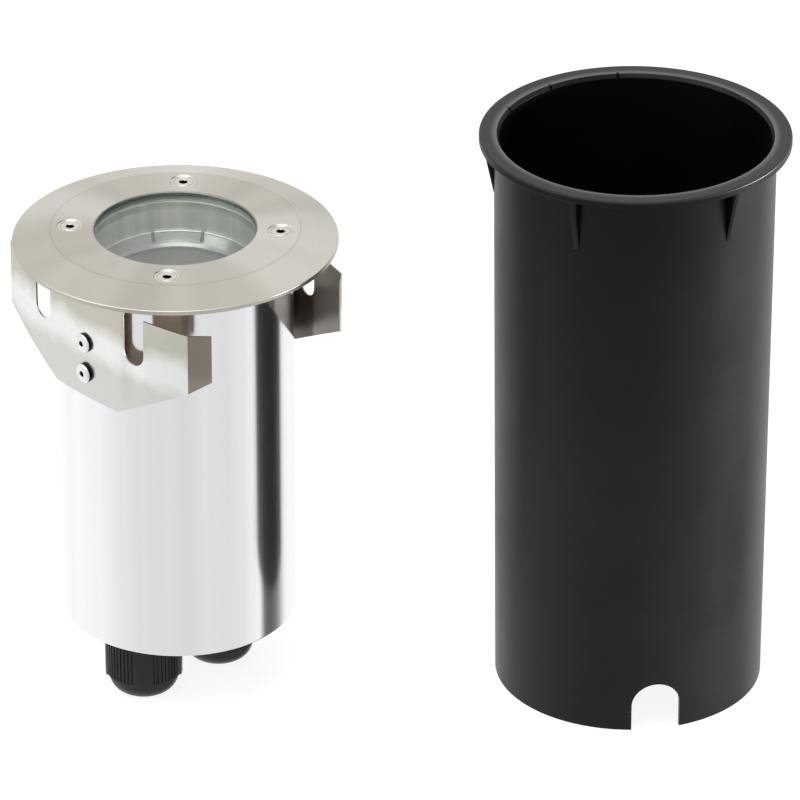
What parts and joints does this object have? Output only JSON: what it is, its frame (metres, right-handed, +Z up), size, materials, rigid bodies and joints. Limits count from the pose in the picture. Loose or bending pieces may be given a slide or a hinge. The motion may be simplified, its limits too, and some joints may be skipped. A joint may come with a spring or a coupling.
{
  "type": "in-ground well light with ground sleeve",
  "caption": "Round recessed ground light with a bevelled steel cover, clear glass, tube housing, spring clips and cable glands, standing beside its flanged plastic ground sleeve.",
  "frame": {"origin": "on the ground sleeve's axis, at the level of its bottom rim, which is the surface that both items stand on", "axes": "+Z up along the sleeve; +X from the light towards the sleeve; +Y away from the front, the side that the picture shows"},
  "size_m": [0.2992, 0.1302, 0.2325],
  "materials": {
    "cover_steel": "brushed",
    "clip_steel": "satin",
    "screw_steel": "satin",
    "zinc_screw": "zinc plated",
    "zinc_sheet": "zinc plated",
    "housing_aluminium": "bright turned",
    "base_aluminium": "turned",
    "rivet_aluminium": "bright",
    "cup_aluminium": "bright spun",
    "carrier_aluminium": "satin",
    "sink_aluminium": "satin",
    "lens_glass": "clear toughened",
    "seal_rubber": "matte",
    "seal_silicone": "translucent",
    "gland_nylon": "satin black",
    "sleeve_plastic": "satin black",
    "board_white": "solder mask",
    "emitter_yellow": "phosphor",
    "holder_white": "moulded",
    "driver_white": "moulded",
    "terminal_cream": "moulded",
    "lead_brown": "insulation",
    "lead_red": "insulation",
    "lead_green": "insulation"
  },
  "bodies": {
    "sleeve": {"ground_sleeve": "sleeve_plastic"},
    "light": {"housing_tube": "housing_aluminium", "base_plate": "base_aluminium", "base_seal": "seal_rubber", "base_screws": "screw_steel", "spring_clip_front": "clip_steel", "spring_clip_rear": "clip_steel", "clip_rivets": "rivet_aluminium", "lamp_cup": "cup_aluminium", "carrier_plate": "carrier_aluminium", "carrier_screws": "zinc_screw", "lamp_board": "board_white", "lamp_emitter": "emitter_yellow", "board_holder": "holder_white", "holder_screws": "zinc_screw", "heat_sink": "sink_aluminium", "lamp_driver": "driver_white", "driver_bracket": "zinc_sheet", "terminal_block": "terminal_cream", "pan_screws": "zinc_screw", "mains_leads": "lead_brown", "lamp_leads": "lead_red", "earth_lead": "lead_green", "gland_body_left": "gland_nylon", "gland_body_right": "gland_nylon", "gland_seal_left": "seal_rubber", "gland_seal_right": "seal_rubber", "gland_washers": "seal_rubber", "gland_locknuts": "gland_nylon"},
    "cover": {"cover_ring": "cover_steel", "cover_screws": "screw_steel"},
    "glass": {"glass_lens": "lens_glass", "glass_gasket": "seal_silicone"},
    "nut_left": {"gland_nut_left": "gland_nylon"},
    "nut_right": {"gland_nut_right": "gland_nylon"}
  },
  "joints": [
    {"name": "light_lift", "type": "slide", "parent": "sleeve", "child": "light", "axis": [0, 0, 1], "range_m": [0, 0.25]},
    {"name": "cover_lift", "type": "slide", "parent": "light", "child": "cover", "axis": [0, 0, 1], "range_m": [0, 0.03]},
    {"name": "glass_lift", "type": "slide", "parent": "light", "child": "glass", "axis": [0, 0, 1], "range_m": [0, 0.015]},
    {"name": "nut_left_turn", "type": "hinge", "parent": "light", "child": "nut_left", "pos_m": [-0.18994, -0.01771, 0], "axis": [0, 0, 1], "continuous": true},
    {"name": "nut_right_turn", "type": "hinge", "parent": "light", "child": "nut_right", "pos_m": [-0.16126, 0.00811, 0], "axis": [0, 0, 1], "continuous": true}
  ],
  "couplings": [
    {"joint": "glass_lift", "follows": "cover_lift", "ratio": 0.5}
  ]
}
